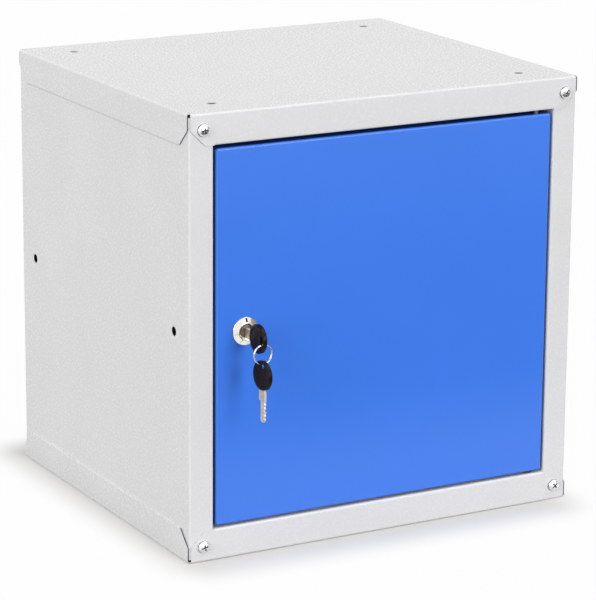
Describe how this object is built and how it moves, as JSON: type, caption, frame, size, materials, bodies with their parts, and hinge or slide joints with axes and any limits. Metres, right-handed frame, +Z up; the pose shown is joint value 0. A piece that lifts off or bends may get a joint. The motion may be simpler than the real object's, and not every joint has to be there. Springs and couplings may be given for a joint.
{
  "type": "cube locker",
  "caption": "Steel cube locker of folded panels with a hinged door, a cam lock, a key in it and a spare key on a split ring.",
  "frame": {"origin": "middle of the cabinet's underside", "axes": "+X to the right seen from the front, +Y to the back, +Z up; the door is on the -Y side"},
  "size_m": [0.395, 0.3982, 0.4],
  "materials": {
    "cabinet_paint": "light grey powder coat, satin",
    "door_paint": "blue powder coat, satin",
    "zinc": "bright zinc plated",
    "chrome": "polished chrome on a die casting",
    "brass": "stamped, bare",
    "nickel": "nickel plated, worn satin",
    "key_plastic": "black moulded plastic, half gloss",
    "nylon": "black, moulded"
  },
  "bodies": {
    "cabinet": {"back_panel": "cabinet_paint", "bottom_panel": "cabinet_paint", "hinge_washer": "nylon", "left_side_panel": "cabinet_paint", "nut_front_bottom_left": "zinc", "nut_front_bottom_right": "zinc", "nut_front_top_left": "zinc", "nut_front_top_right": "zinc", "nut_rear_bottom_left": "zinc", "nut_rear_bottom_right": "zinc", "nut_rear_top_left": "zinc", "nut_rear_top_right": "zinc", "right_side_panel": "cabinet_paint", "screw_front_bottom_left": "zinc", "screw_front_bottom_right": "zinc", "screw_front_top_left": "zinc", "screw_front_top_right": "zinc", "screw_rear_bottom_left": "zinc", "screw_rear_bottom_right": "zinc", "screw_rear_top_left": "zinc", "screw_rear_top_right": "zinc", "top_panel": "cabinet_paint"},
    "door": {"door_panel": "door_paint", "lock_housing": "chrome", "lock_nut": "zinc", "lock_washer": "zinc", "lower_hinge_pin": "zinc", "upper_hinge_pin": "zinc"},
    "lock": {"cam_screw": "zinc", "lock_cam": "zinc", "lock_plug": "chrome", "lock_wafer_1": "brass", "lock_wafer_2": "brass", "lock_wafer_3": "brass", "lock_wafer_4": "brass"},
    "key": {"key_blade": "nickel", "key_head": "key_plastic"},
    "ring": {"key_ring": "nickel"},
    "spare_key": {"spare_key_blade": "nickel", "spare_key_head": "key_plastic"}
  },
  "joints": [
    {"name": "door_hinge", "type": "hinge", "parent": "cabinet", "child": "door", "pos_m": [0.1581, -0.1663, 0.2], "axis": [0, 0, 1], "range_deg": [0, 120]},
    {"name": "lock_turn", "type": "hinge", "parent": "door", "child": "lock", "pos_m": [-0.1417, -0.1738, 0.2045], "axis": [0, 1, 0], "range_deg": [0, 90]},
    {"name": "key_pull", "type": "slide", "parent": "lock", "child": "key", "axis": [0, -1, 0], "range_m": [0, 0.025]},
    {"name": "ring_swing", "type": "hinge", "parent": "key", "child": "ring", "pos_m": [-0.1417, -0.206, 0.2001], "axis": [-1, 0, 0], "range_deg": [-12, 75]},
    {"name": "spare_key_swing", "type": "hinge", "parent": "ring", "child": "spare_key", "pos_m": [-0.1417, -0.2054, 0.1827], "axis": [-1, 0, 0], "range_deg": [-12, 75]}
  ]
}
